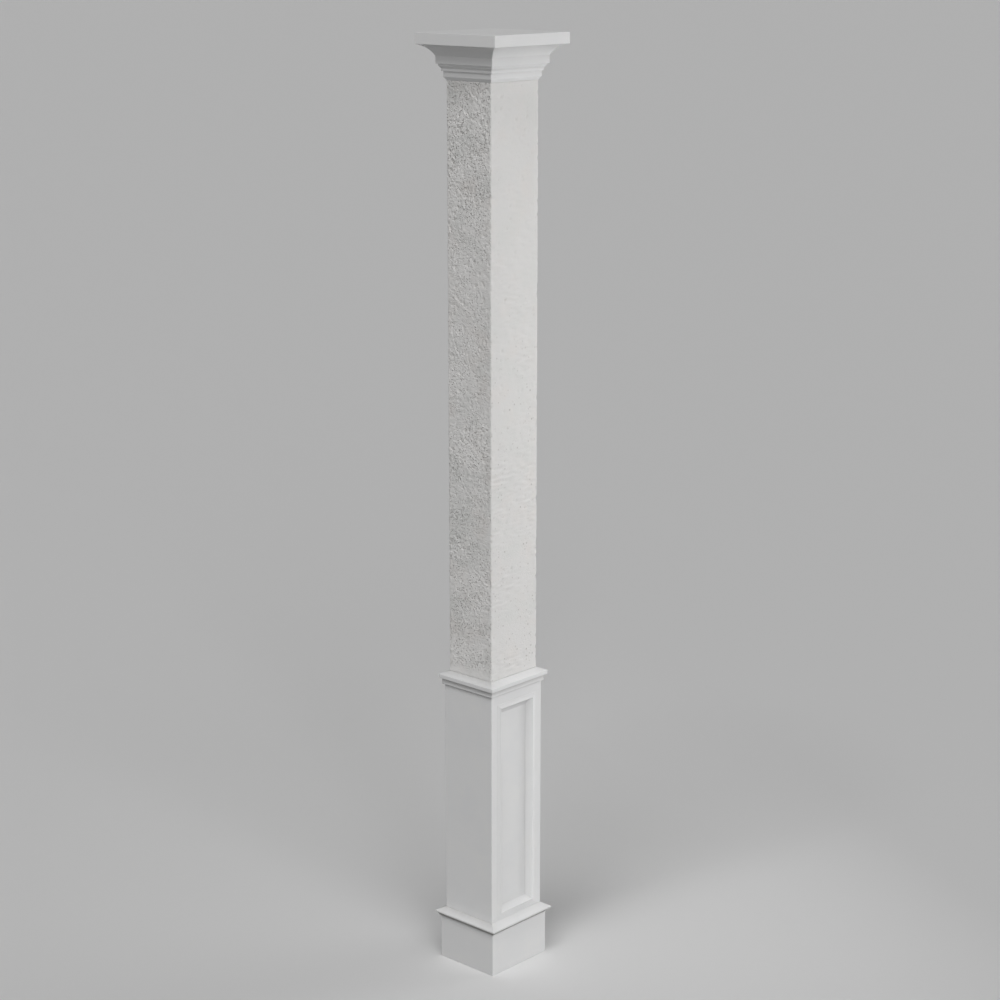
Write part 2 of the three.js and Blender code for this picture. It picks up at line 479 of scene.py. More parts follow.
def held(points, closed):
    """Adds a point near both ends of each long straight stretch, so that shading stays on the corners."""
    kept = []
    count = len(points)
    for i, point in enumerate(points):
        kept.append(point)
        if i == count - 1 and not closed:
            break
        step = points[(i + 1) % count] - point
        length = np.linalg.norm(step)
        if length > LONG_STRETCH:
            kept.append(point + step / length * HOLD_DISTANCE)
            kept.append(point + step / length * (length - HOLD_DISTANCE))
    return np.array(kept)


def hollow_depth(points, hollows):
    """1 in an inner corner of the profile, fading to 0 a little way out of it: the share of painted shade
    there.
    """
    if not hollows:
        return np.zeros(len(points))
    gaps = np.linalg.norm(points[:, None, :] - np.array(hollows)[None, :, :], axis=2).min(axis=1)
    return np.exp(-gaps / HOLLOW_FADE)


# Rings and lofts

def ramp(values, low, high):
    """Rises smoothly from 0 at low to 1 at high."""
    t = np.clip((values - low) / (high - low), 0, 1)
    return t * t * (3 - 2 * t)


def side_share(outward, front_share, hidden_share):
    """1 on the left face, the given shares on the front and the hidden faces, blended round the arrises."""
    left = ramp(-outward[:, 0], *FACE_BLEND)
    front = ramp(-outward[:, 1], *FACE_BLEND)
    hidden = ramp(outward[:, 0], *FACE_BLEND) + ramp(outward[:, 1], *FACE_BLEND)
    return (left + front_share * front + hidden_share * hidden) / (left + front + hidden)


def side_stations(length, cell):
    """Shares along one straight side: evenly spaced if a cell is given, or else just two near each end."""
    if cell:
        count = max(1, round(length / cell))
        return np.arange(1, count) / count
    share = min(LARGEST_HOLD, HOLD_DISTANCE / length)
    return np.array([share, SECOND_HOLD * share, 1 - SECOND_HOLD * share, 1 - share])


def rounded_rectangle(half_a, half_b, radius, cells=(None, None, None, None)):
    """Points round a rectangle with eased corners, counter-clockwise, and the outward direction at each."""
    points = []
    outward = []
    signs = np.array([(1, -1), (1, 1), (-1, 1), (-1, -1)])
    centres = signs * (half_a - radius, half_b - radius)
    for corner, centre in enumerate(centres):
        for angle in np.linspace(corner - 1, corner, EASING_STEPS + 1) * math.pi / 2:
            direction = np.array([math.cos(angle), math.sin(angle)])
            points.append(centre + radius * direction)
            outward.append(direction)
        side_direction = outward[-1]
        side_start = points[-1]
        side_end = centres[(corner + 1) % 4] + radius * side_direction
        for share in side_stations(np.linalg.norm(side_end - side_start), cells[corner]):
            points.append(side_start + share * (side_end - side_start))
            outward.append(side_direction)
    return np.array(points), np.array(outward)


def add_object(name, data):
    """Adds an object with its data to the scene."""
    made = bpy.data.objects.new(name, data)
    bpy.context.scene.collection.objects.link(made)
    return made


def add_values(mesh, name, values):
    """Gives each point of a mesh a value that the finishes can read."""
    attribute = mesh.attributes.new(name, "FLOAT", "POINT")
    attribute.data.foreach_set("value", np.ravel(values).astype(np.float32))


def loft(name, rings, hollows, closed=False):
    """A mesh object through rings of points, capped flat at both ends unless it closes on itself."""
    ring_count, ring_size, _ = rings.shape
    bands = ring_count if closed else ring_count - 1
    ring, spot = np.meshgrid(np.arange(bands), np.arange(ring_size), indexing="ij")
    next_ring = (ring + 1) % ring_count
    next_spot = (spot + 1) % ring_size
    corners = ((ring, spot), (ring, next_spot), (next_ring, next_spot), (next_ring, spot))
    quads = np.stack([row * ring_size + column for row, column in corners], axis=-1).reshape(-1, 4)
    faces = quads.tolist()
    if not closed:
        faces.append(list(range(ring_size))[::-1])
        faces.append(list(range((ring_count - 1) * ring_size, ring_count * ring_size)))
    mesh = bpy.data.meshes.new(name)
    mesh.from_pydata(rings.reshape(-1, 3).tolist(), [], faces)
    smooth = np.ones(len(faces), bool)
    smooth[len(quads):] = False
    mesh.polygons.foreach_set("use_smooth", smooth)
    hollows = np.reshape(hollows, (ring_count, -1))
    add_values(mesh, "hollow", np.broadcast_to(hollows, (ring_count, ring_size)))
    mesh.validate()
    mesh.update()
    return add_object(name, mesh)


def level_ring(outline, height):
    """An outline laid level at a height."""
    return np.column_stack([outline, np.full(len(outline), height)])


def set_piece(piece, node, material):
    """Stands a finished piece in for its CAD node."""
    piece.data.materials.append(material)
    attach(piece, "root")
    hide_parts(node)


def ledge_shade(reach):
    """Painted shade on a weathering slope, which fades from the wall to the nose."""
    toward_wall = np.clip(1 - reach, 0, 1) ** LEDGE_SHADE_FALLOFF
    return LEDGE_SHADE_AT_NOSE + (LEDGE_SHADE_AT_WALL - LEDGE_SHADE_AT_NOSE) * toward_wall


def moulding(name, node, inner, profile, easing, shade_amount=1.0):
    """A moulding run round all four sides of the column, from its profile of reach and height."""
    outer = plan(node)
    mean_projection = float(np.mean(outer - inner)) / 2
    shaded = [place * (mean_projection, MM) for place in profile.hollows]
    points, hollows = eased(profile.scaled(mean_projection, MM), easing, shaded=shaded)
    rings = []
    shades = []
    for (across, up), hollow in zip(points, hollows):
        reach = across / mean_projection
        half = (inner + (outer - inner) * reach) / 2
        outline, outward = rounded_rectangle(half[0], half[1], easing)
        rings.append(level_ring(outline, foot(node) + up))
        # Painted shade: on a ledge it fades from the wall to the nose, strongest on the left face and
        # weakest on the front; elsewhere it lies in the inner corners.
        if up > profile.ledge_foot * MM:
            shades.append(ledge_shade(reach) * side_share(outward, LEDGE_SHADE_FRONT, LEDGE_SHADE_HIDDEN))
        else:
            shades.append(np.full(len(outline), hollow * shade_amount))
    return loft(name, np.array(rings), np.array(shades))


def block(name, node, easing):
    """A plain square-edged block with its arrises eased, at its CAD node's place."""
    height = head(node) - foot(node)
    profile = Profile(-BLOCK_CAP_INSET, 0).line(0, 0).line(0, height).line(-BLOCK_CAP_INSET, height)
    points, _ = eased(profile.scaled(1, 1), easing)
    rings = []
    for across, up in points:
        half = plan(node) / 2 + across
        outline, _ = rounded_rectangle(half[0], half[1], easing)
        rings.append(level_ring(outline, foot(node) + up))
    return loft(name, np.array(rings), np.zeros(len(rings)))


# Panelled pedestal

def panel_outline():
    """Half width, foot and head of the panel moulding's outer edge."""
    half = plan("pedestal")[0] / 2 - PANEL_STILE * MM
    return half, foot("pedestal") + PANEL_FOOT_RAIL * MM, head("pedestal") - PANEL_TOP_RAIL * MM


def pedestal_rectangle(inset):
    """Half width, foot and head of a rectangle on the pedestal's face, from its arris in to the panel."""
    half, low, high = panel_outline()
    stile = PANEL_STILE * MM
    if inset > stile:
        deeper = inset - stile
        return half - deeper, low + deeper, high - deeper
    share = inset / stile
    outer = plan("pedestal")[0] / 2
    return (
        outer + (half - outer) * share,
        foot("pedestal") + (low - foot("pedestal")) * share,
        head("pedestal") + (high - head("pedestal")) * share,
    )


def pedestal_box(easing):
    """The pedestal, lofted from the floor of its front panel round to the floor of its back panel."""
    low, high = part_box("pedestal")
    front_floor = low.y + PANEL_DEPTH * MM
    back_floor = high.y - BACK_PANEL_DEPTH * MM
    recess = (PANEL_STILE + REBATE_INSET) * MM
    back_lip = (PANEL_STILE + MOULDING_LIP_START) * MM
    back_toe = back_lip + BACK_PANEL_BEVEL * MM
    profile = Profile(recess + PANEL_FLOOR_REACH * MM, front_floor).line(recess, front_floor)
    profile.line(recess, low.y).line(0, low.y).line(0, high.y).line(back_lip, high.y)
    profile.line(back_toe, back_floor).line(back_toe + BACK_FLOOR_REACH * MM, back_floor)
    points, hollows = eased(profile.scaled(-1, 1), easing)
    rings = []
    for across, y in points:
        half, bottom, top = pedestal_rectangle(-across)
        outline, _ = rounded_rectangle((top - bottom) / 2, half, easing)
        middle = (bottom + top) / 2
        rings.append(np.column_stack([outline[:, 1], np.full(len(outline), y), outline[:, 0] + middle]))
    rings = np.array(rings)
    # Painted shadow along the top of the pedestal's faces, under the belt's overhang, joined to the painted
    # shade of the inner corners.
    under_belt = rings[:, :, 2] > high.z - JOINT_SHADE
    return loft("pedestal_box", rings, np.maximum(hollows[:, None], under_belt))


def mitred_rectangle(half_a, half_b):
    """A rectangle with a fine seam at each mitred corner, and how deep in the seam each point is."""
    points = []
    depths = []
    corners = np.array([(-1, -1), (1, -1), (1, 1), (-1, 1)]) * (half_a, half_b)
    for corner, place in enumerate(corners):
        back = corners[corner - 1] - place
        back = back / np.linalg.norm(back)
        ahead = corners[(corner + 1) % 4] - place
        ahead = ahead / np.linalg.norm(ahead)
        for offset in (back * MITRE_HOLD, back * MITRE_SEAM, 0.0, ahead * MITRE_SEAM, ahead * MITRE_HOLD):
            points.append(place + offset)
        depths += [0.0, 0.0, 1.0, 0.0, 0.0]
    return np.array(points), np.array(depths)


def panel_moulding(easing):
    """The mitred moulding round the front panel: flare, proud lip and a hollow slope down to the panel."""
    half, low, high = panel_outline()
    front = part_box("pedestal")[0].y
    back = JOINT_GAP - PANEL_DEPTH
    rebate = REBATE_INSET + JOINT_GAP
    section = Profile(0, 0).line(0, MOULDING_TOE)
    section.curve(MOULDING_FLARE_PULL, MOULDING_LIP_START, MOULDING_LIP_HEIGHT)
    section.line(MOULDING_LIP_END, MOULDING_LIP_HEIGHT)
    section.curve(MOULDING_SLOPE_PULL, MOULDING_WIDTH, back)
    section.line(rebate, back).line(rebate, 0)
    points, _ = eased(section.scaled(MM, MM), easing, closed=True)
    middle = (low + high) / 2
    rings = []
    for inset, height in points:
        outline, depth = mitred_rectangle(half - inset, (high - low) / 2 - inset)
        seam = depth * MITRE_SEAM_DEPTH
        rings.append(np.column_stack([outline[:, 0], front - height + seam, outline[:, 1] + middle]))
    # Painted shade along the edge where the moulding meets the panel's floor.
    floor_gap = np.abs(points[:, 0] - MOULDING_WIDTH * MM) + np.abs(points[:, 1] - back * MM)
    hollows = PANEL_SHADE * np.exp(-floor_gap / HOLLOW_FADE)
    return loft("panel_bolection", np.array(rings), hollows, closed=True)


# Plaster relief

def smooth_noise(points, wavelength, seed):
    """Smooth noise from about -1 to 1 over points in metres."""
    chance = np.random.default_rng(seed)
    order = chance.permutation(NOISE_CELLS)
    slopes = chance.normal(size=(NOISE_CELLS, 3))
    slopes /= np.linalg.norm(slopes, axis=1)[:, None]
    scaled = points / wavelength
    cell = np.floor(scaled).astype(int)
    offset = scaled - cell
    fade = offset**3 * (offset * (offset * 6 - 15) + 10)
    total = np.zeros(len(points))
    for corner in itertools.product((0, 1), repeat=3):
        key = np.zeros(len(points), int)
        for steps in (cell + corner).T:
            key = order[(key + steps) % NOISE_CELLS]
        weight = np.prod(np.where(np.array(corner) == 1, fade, 1 - fade), axis=1)
        total += weight * np.sum(slopes[key] * (offset - corner), axis=1)
    return total * NOISE_GAIN


def plaster_relief(places, around, share, finish):
    """Height of the plaster above the shaft's true faces, and its roughness from 0, trowelled, to 1."""
    up = places[:, 2]
    low = foot("shaft")
    rise = (up - low) / (head("shaft") - low)
    upper = ramp(rise, *HEAD_RANGE)
    patches = smooth_noise(places, *BROAD_PATCHES) + SMALL_PATCH_SHARE * smooth_noise(places, *SMALL_PATCHES)
    rough = LEAST_ROUGH + PATCH_ROUGH * ramp(patches, *PATCH_RANGE) + HEAD_ROUGH * upper
    rough *= 1 - TROWELLED_LOSS * np.exp(-(((rise - TROWELLED_RISE) / TROWELLED_SPAN) ** 2))
    rough *= FOOT_ROUGH + (1 - FOOT_ROUGH) * ramp(up - low, 0.0, FOOT_FADE)
    waves = smooth_noise(places, *BROAD_WAVES) + SMALL_WAVE_SHARE * smooth_noise(places, *SMALL_WAVES)
    along = math.cos(GRAIN_SLANT) * around - math.sin(GRAIN_SLANT) * up
    across = math.sin(GRAIN_SLANT) * around + math.cos(GRAIN_SLANT) * up
    level = np.zeros(len(places))
    slanted = np.column_stack([along / GRAIN_STRETCH, across, level])
    grain = smooth_noise(slanted, *FINE_GRAIN) + COARSE_GRAIN_SHARE * smooth_noise(places, *COARSE_GRAIN)
    grain = np.where(grain < 0, GRAIN_DIPS * grain, GRAIN_RISES * grain)
    stretched = np.column_stack([around / STROKE_STRETCH, up, level])
    strokes = smooth_noise(stretched, *STROKES)
    strokes *= ramp(smooth_noise(places, *STROKE_PATCHES), *STROKE_PATCH_RANGE)
    strokes *= (1 - STROKES_LOST_IN_GRAIN * share) * (1 - STROKES_LOST_AT_HEAD * upper)
    height = finish.wave_depth * WAVE_GAIN * waves
    height += share * finish.grain_depth * rough * grain
    height += finish.stroke_depth * strokes
    return height, rough * share


def nearby(around, up, centre, reach):
    """The part of the grid near a centre, and how far across and above that centre its points lie."""
    columns = np.nonzero(np.abs(around - centre[0]) < reach)[0]
    rows = np.nonzero(np.abs(up - centre[1]) < reach)[0]
    return np.ix_(rows, columns), around[columns][None, :] - centre[0], up[rows][:, None] - centre[1]


def draw_sweeps(height, around, up, share, finish):
    """Draws the trowel's sweeps, each an arc that falls from the upper left and flattens to the right."""
    chance = np.random.default_rng(SWEEP_SEED)
    for _ in range(finish.sweeps):
        radius = chance.uniform(*SWEEP_RADII)
        heading = math.radians(chance.uniform(*SWEEP_HEADINGS_DEG))
        half_span = chance.uniform(*SWEEP_HALF_SPANS)
        width = chance.uniform(*SWEEP_WIDTHS_MM) * MM
        depth = chance.uniform(*SWEEP_STRENGTHS) * finish.sweep_depth
        middle = (chance.uniform(0, around[-1]), chance.uniform(up[0], up[-1]))
        part, across, rise = nearby(around, up, middle, radius * half_span + SWEEP_MARGIN * width)
        across = across + radius * math.cos(heading)
        rise = rise + radius * math.sin(heading)
        offset = (np.hypot(across, rise) - radius) / width
        turned = np.abs((np.arctan2(rise, across) - heading + math.pi) % (2 * math.pi) - math.pi)
        ridge = np.exp(-(offset**2)) - SWEEP_GROOVE * np.exp(-((offset + SWEEP_GROOVE_OFFSET) ** 2))
        fading = 1 - ramp(turned / half_span, *SWEEP_FADE)
        height[part] += depth * share[part[1]] * ridge * fading


def press_pit(height, around, up, centre, radius, depth):
    """Presses one round pit into a grid of heights."""
    part, across, rise = nearby(around, up, centre, radius)
    height[part] -= depth * (1 - ramp(np.hypot(across, rise) / radius, *PIT_WALL))


def press_pits(height, around, up, share, corners, finish):
    """Scatters pits over the faces, more of them higher up, and chips along the arrises."""
    chance = np.random.default_rng(PIT_SEED)
    for _ in range(finish.pits):
        column = chance.integers(len(around))
        row_height = up[0] + (up[-1] - up[0]) * math.sqrt(chance.uniform(0, 1))
        depth = chance.uniform(*PIT_DEPTHS_MM) * MM * share[column] ** PIT_FACE_POWER
        radius = chance.uniform(*PIT_RADII_MM) * MM
        press_pit(height, around, up, (around[column], row_height), radius, depth)
    for _ in range(finish.chips):
        place = (chance.choice(corners), chance.uniform(up[0], up[-1]))
        radius = chance.uniform(*CHIP_RADII_MM) * MM
        press_pit(height, around, up, place, radius, chance.uniform(*CHIP_DEPTHS_MM) * MM)


def plastered_shaft(finish):
    """The shaft with its plaster relief as mesh."""
    half = plan("shaft") / 2
    low = foot("shaft")
    high = head("shaft")
    outline, outward = rounded_rectangle(half[0], half[1], finish.arris, PLASTER_CELLS)
    steps = np.linalg.norm(np.roll(outline, -1, axis=0) - outline, axis=1)
    around = np.concatenate([[0.0], np.cumsum(steps)[:-1]])
    corners = around[np.abs(outward[:, 0] * outward[:, 1]) > ARRIS_DIAGONAL]
    ring_size = len(outline)
    ring_count = round((high - low) / PLASTER_ROW) + 1
    up = np.linspace(low, high, ring_count)
    places = np.column_stack([np.tile(outline, (ring_count, 1)), np.repeat(up, ring_size)])
    directions = np.column_stack([np.tile(outward, (ring_count, 1)), np.zeros(len(places))])
    share = side_share(outward, finish.front_relief, finish.hidden_relief)
    height, rough = plaster_relief(places, np.tile(around, ring_count), np.tile(share, ring_count), finish)
    height = height.reshape(ring_count, ring_size)
    draw_sweeps(height, around, up, share, finish)
    press_pits(height, around, up, share, corners, finish)
    height *= ramp(np.minimum(up - low, high - up), 0.0, END_FADE)[:, None]
    raised = places + directions * height.reshape(-1, 1)
    # Painted shade in the deeper pits.
    hollow = ramp(-height, *SHADED_PIT_DEPTHS)
    piece = loft("plastered_shaft", raised.reshape(ring_count, ring_size, 3), hollow)
    add_values(piece.data, "rough", rough)
    return piece


# Shader nodes

def grey(tone):
    """A neutral colour as a shader value."""
    return (tone, tone, tone, 1.0)


def tinted(colour, red=1, green=1, blue=1):
    """A colour with each channel scaled, as a shader value."""
    return (colour[0] * red, colour[1] * green, colour[2] * blue, 1.0)


def add_node(tree, kind, inputs=None, **settings):
    """Adds a node, sets its properties, and sets or links its inputs."""
    node = tree.nodes.new(kind)
    for name, value in settings.items():
        setattr(node, name, value)
    for name, value in (inputs or {}).items():
        socket = node.inputs[name]
        if isinstance(value, bpy.types.NodeSocket):
            tree.links.new(value, socket)
        else:
            socket.default_value = value
    return node


def calculated(tree, operation, *values, clamp=False):
    """A shader value worked out from others."""
    inputs = dict(enumerate(values))
    return add_node(tree, "ShaderNodeMath", inputs, operation=operation, use_clamp=clamp).outputs["Value"]


def product(tree, value, *factors):
    """A shader value multiplied by others."""
    for factor in factors:
        value = calculated(tree, "MULTIPLY", value, factor)
    return value


def ranged(tree, value, start, end, to_low=0.0, to_high=1.0):
    """A shader value brought from one range to another."""
    inputs = {"Value": value, "From Min": start, "From Max": end, "To Min": to_low, "To Max": to_high}
    return add_node(tree, "ShaderNodeMapRange", inputs).outputs["Result"]


def blended(tree, factor, first, second):
    """A colour between two others."""
    inputs = {"Factor": factor, "A": first, "B": second}
    return add_node(tree, "ShaderNodeMix", inputs, data_type="RGBA").outputs["Result"]


def bumped(tree, height, distance):
    """The normal of a surface with a height on it."""
    inputs = {"Height": height, "Distance": distance, "Strength": 1.0}
    return add_node(tree, "ShaderNodeBump", inputs).outputs["Normal"]


def cloudy(tree, place, scale, detail, roughness):
    """Cloudy noise over the surface."""
    inputs = {"Vector": place, "Scale": scale, "Detail": detail, "Roughness": roughness}
    return add_node(tree, "ShaderNodeTexNoise", inputs).outputs


def surface_place(tree):
    """The place on the surface, in metres."""
    return add_node(tree, "ShaderNodeTexCoord").outputs["Object"]


def point_value(tree, name):
    """A value that the mesh holds at its points."""
    return add_node(tree, "ShaderNodeAttribute", attribute_name=name).outputs["Fac"]


# Shader effects shared by the finishes

def new_group(name, inputs, outputs):
    """A shader node group with named sockets, the sockets that it is given and those of its result."""
    tree = bpy.data.node_groups.new(name, "ShaderNodeTree")
    for socket_name, kind, default in inputs:
        socket = tree.interface.new_socket(socket_name, in_out="INPUT", socket_type=kind)
        socket.default_value = default
    for socket_name, kind in outputs:
        tree.interface.new_socket(socket_name, in_out="OUTPUT", socket_type=kind)
    return tree, tree.nodes.new("NodeGroupInput").outputs, tree.nodes.new("NodeGroupOutput").inputs


def tone_drift_group():
    """Slow drift of a colour towards two tints over the surface."""
    tree, given, result = new_group(
        "Tone drift",
        [
            ("Colour", "NodeSocketColor", PALE_GREY),
            ("First tint", "NodeSocketColor", PALE_GREY),
            ("Second tint", "NodeSocketColor", PALE_GREY),
            ("Patches per metre", "NodeSocketFloat", PAINT_PATCHES),
        ],
        [("Colour", "NodeSocketColor")],
    )
    place = surface_place(tree)
    patches = cloudy(tree, place, given["Patches per metre"], DRIFT_DETAIL, DRIFT_ROUGHNESS)
    channels = add_node(tree, "ShaderNodeSeparateColor", {"Color": patches["Color"]})
    colour = given["Colour"]
    for channel, tint in (("Red", "First tint"), ("Green", "Second tint")):
        amount = ranged(tree, channels.outputs[channel], *DRIFT_RANGE)
        colour = blended(tree, amount, colour, given[tint])
    tree.links.new(colour, result["Colour"])
    return tree


def grain_group():
    """Fine surface grain as a height from 0 to 1, with its own count of grains along each axis."""
    tree, given, result = new_group(
        "Surface grain",
        [
            ("Grains per metre", "NodeSocketVector", SAND_GRAIN),
            ("Detail", "NodeSocketFloat", GRAIN_DETAIL),
            ("Amount", "NodeSocketFloat", 1.0),
        ],
        [("Height", "NodeSocketFloat")],
    )
    place = add_node(
        tree,
        "ShaderNodeVectorMath",
        {0: surface_place(tree), 1: given["Grains per metre"]},
        operation="MULTIPLY",
    ).outputs["Vector"]
    grains = cloudy(tree, place, 1.0, given["Detail"], GRAIN_ROUGHNESS)
    tree.links.new(product(tree, grains["Fac"], given["Amount"]), result["Height"])
    return tree


def shade_and_dust_group():
    """Painted shade and dust in the hollows of a piece, as its colour and its mask."""
    tree, given, result = new_group(
        "Settled dust",
        [
            ("Colour", "NodeSocketColor", PALE_GREY),
            ("Dust colour", "NodeSocketColor", (*PAINT_SHADE_TINT, 1.0)),
            ("Amount", "NodeSocketFloat", PAINT_SHADE),
        ],
        [("Colour", "NodeSocketColor"), ("Mask", "NodeSocketFloat")],
    )
    broken = cloudy(tree, surface_place(tree), SHADE_DUST_PATCHES, SHADE_DUST_DETAIL, SHADE_DUST_ROUGHNESS)
    share = ranged(tree, broken["Fac"], *SHADE_DUST_RANGE, to_low=LEAST_SHADE_DUST)
    mask = product(tree, point_value(tree, "hollow"), share)
    amount = product(tree, mask, given["Amount"])
    tree.links.new(blended(tree, amount, given["Colour"], given["Dust colour"]), result["Colour"])
    tree.links.new(mask, result["Mask"])
    return tree


GROUPS = {
    "Tone drift": tone_drift_group,
    "Surface grain": grain_group,
    "Settled dust": shade_and_dust_group,
}


def place_group(tree, name, inputs):
    """Places a node group with its own values, and builds it the first time that it is asked for."""
    group = bpy.data.node_groups.get(name) or GROUPS[name]()
    return add_node(tree, "ShaderNodeGroup", inputs, node_tree=group).outputs


# Finishes

def new_material(name):
    """An empty material and its node tree."""
    material = bpy.data.materials.new(name)
    material.use_nodes = True
    material.node_tree.nodes.clear()
    return material, material.node_tree


def coat(tree, colour, roughness, specular, normal):
    """Ends a material with its shader."""
    inputs = {"Base Color": colour, "Roughness": roughness, "Specular IOR Level": specular, "Normal": normal}
    shader = add_node(tree, "ShaderNodeBsdfPrincipled", inputs)
    add_node(tree, "ShaderNodeOutputMaterial", {"Surface": shader.outputs["BSDF"]})


def grained(tree, grains_per_metre, amount=1.0):
    """Height of a fine grain with its own count along each axis."""
    inputs = {"Grains per metre": grains_per_metre, "Detail": GRAIN_DETAIL, "Amount": amount}
    return place_group(tree, "Surface grain", inputs)["Height"]


def toned_and_shaded(tree, ground, colour, tints, patches, shade_tint, shade_amount):
    """A ground colour with a slow drift of tone and with painted shade in its hollows, and the shade's mask.
    """
    drift = place_group(
        tree,
        "Tone drift",
        {
            "Colour": ground,
            "First tint": tinted(colour, *tints[0]),
            "Second tint": tinted(colour, *tints[1]),
            "Patches per metre": patches,
        },
    )
    shaded = {"Colour": drift["Colour"], "Dust colour": tinted(colour, *shade_tint), "Amount": shade_amount}
    return place_group(tree, "Settled dust", shaded)


def white_paint(direction, finish):
    """Satin white paint, brushed level along the mouldings and blocks or upright on the pedestal."""
    name = f"white_paint_{direction}"
    existing = bpy.data.materials.get(name)
    if existing:
        return existing
    material, tree = new_material(name)
    ground = tinted(finish.colour)
    # A slow drift of tone, and painted shade in the creases.
    shaded = toned_and_shaded(
        tree, ground, finish.colour, PAINT_TINTS, PAINT_PATCHES, PAINT_SHADE_TINT, PAINT_SHADE
    )
    strokes = grained(tree, BRUSH_STROKES[direction])
    relief = calculated(tree, "ADD", strokes, grained(tree, STIPPLE, STIPPLE_HEIGHT))
    sheen_range = (finish.roughness - SHEEN_VARIATION, finish.roughness + SHEEN_VARIATION)
    sheen = ranged(tree, strokes, *STROKE_HEIGHTS, *sheen_range)
    roughness = calculated(tree, "MULTIPLY_ADD", shaded["Mask"], DUSTY_ROUGHNESS, sheen)
    coat(tree, shaded["Colour"], roughness, PAINT_SPECULAR, bumped(tree, relief, finish.brush_depth))
    return material


def stray_pit_shade(tree, cells, place, bare):
    """Mask of a few pits of painted shade, colour only, in the closer trowelled plaster, lower down the
    shaft.
    """
    pick = add_node(tree, "ShaderNodeSeparateColor", {"Color": cells["Color"]})
    height = add_node(tree, "ShaderNodeSeparateXYZ", {"Vector": place})
    return product(
        tree,
        ranged(tree, cells["Distance"], *STRAY_PIT_EDGE),
        ranged(tree, pick.outputs["Red"], *STRAY_PIT_PICK),
        ranged(tree, height.outputs["Z"], *STRAY_PIT_HEIGHTS),
        calculated(tree, "SUBTRACT", 1.0, bare),
    )


def rough_plaster(finish):
    """Matt off-white plaster with grain, pits and faint tints, painted shade in its pits, and its ground
    painted lighter where it is rough.
    """
    material, tree = new_material("rough_plaster")
    rough = point_value(tree, "rough")
    bare = calculated(tree, "POWER", rough, BARE_POWER, clamp=True)
    # Ground painted lighter where the plaster is rough, to offset the shade of its relief.
    ground = blended(tree, bare, tinted(finish.colour), tinted(finish.colour, *ROUGH_LIGHTENING_TINT))
    shaded = toned_and_shaded(
        tree, ground, finish.colour, PLASTER_TINTS, PLASTER_PATCHES, PLASTER_SHADE_TINT, PLASTER_SHADE
    )
    place = surface_place(tree)
    cells = add_node(tree, "ShaderNodeTexVoronoi", {"Vector": place, "Scale": FINE_PITS}).outputs
    pits = ranged(tree, cells["Distance"], *FINE_PIT_EDGE)
    pitted = calculated(tree, "MULTIPLY_ADD", pits, FINE_PIT_RELIEF, grained(tree, SAND_GRAIN))
    relief = product(tree, pitted, rough)
    # Painted shade in the fine pits where the plaster is rough, and in the stray pits.
    pit_shade_colour = tinted(finish.colour, *PIT_SHADE_TINT)
    colour = blended(tree, product(tree, pits, bare), shaded["Colour"], pit_shade_colour)
    colour = blended(tree, stray_pit_shade(tree, cells, place, bare), colour, pit_shade_colour)
    roughness = ranged(tree, rough, 0.0, 1.0, *PLASTER_ROUGHNESS)
    coat(tree, colour, roughness, PLASTER_SPECULAR, bumped(tree, relief, PLASTER_BUMP))
    return material


# Stage

def place_lamp(name, light, location, toward):
    """Places a light that shines back from a direction."""
    lamp = add_object(name, light)
    lamp.location = location
    lamp.rotation_euler = toward.to_track_quat("Z", "Y").to_euler()
    return lamp


def soft_light(name, azimuth, elevation, spread, strength):
    """A soft distant light, given the azimuth from the front and the elevation that it is seen at."""
    turn = math.radians(azimuth)
    rise = math.radians(elevation)
    toward = Vector((math.sin(turn) * math.cos(rise), -math.cos(turn) * math.cos(rise), math.sin(rise)))
    light = bpy.data.lights.new(name, "SUN")
    light.energy = strength
    light.angle = math.radians(spread)
    light.cycles.use_multiple_importance_sampling = False
    place_lamp(name, light, toward * LAMP_DISTANCE, toward)


def light_panel(strength):
    """An upright light panel near the column, as strong at its distance as a soft light of that strength."""
    turn = math.radians(LIGHT_PANEL_AZIMUTH_DEG)
    toward = Vector((math.sin(turn), -math.cos(turn), 0))
    light = bpy.data.lights.new("light_panel", "AREA")
    light.shape = "RECTANGLE"
    light.size, light.size_y = LIGHT_PANEL_SIZE
    light.energy = strength * math.pi * LIGHT_PANEL_DISTANCE**2
    location = toward * LIGHT_PANEL_DISTANCE + Vector((0, 0, LIGHT_PANEL_HEIGHT))
    lamp = place_lamp("light_panel", light, location, toward)
    lamp.visible_camera = False


def pale_floor(stage):
    """A plain floor that looks pale and gives back only a little light."""
    half = FLOOR_HALF_SIZE
    corners = [(-half, -half, 0), (half, -half, 0), (half, half, 0), (-half, half, 0)]
    mesh = bpy.data.meshes.new("floor")
    mesh.from_pydata(corners, [], [(0, 1, 2, 3)])
    floor = add_object("floor", mesh)
    floor.location.z = -FLOOR_DROP
    floor.visible_shadow = False
    material, tree = new_material("pale_floor")
    path = add_node(tree, "ShaderNodeLightPath")
    colour = blended(tree, path.outputs["Is Camera Ray"], grey(FLOOR_BOUNCE), tinted(stage.floor_colour))
    shader = add_node(tree, "ShaderNodeBsdfDiffuse", {"Color": colour})
    add_node(tree, "ShaderNodeOutputMaterial", {"Surface": shader.outputs["BSDF"]})
    mesh.materials.append(material)


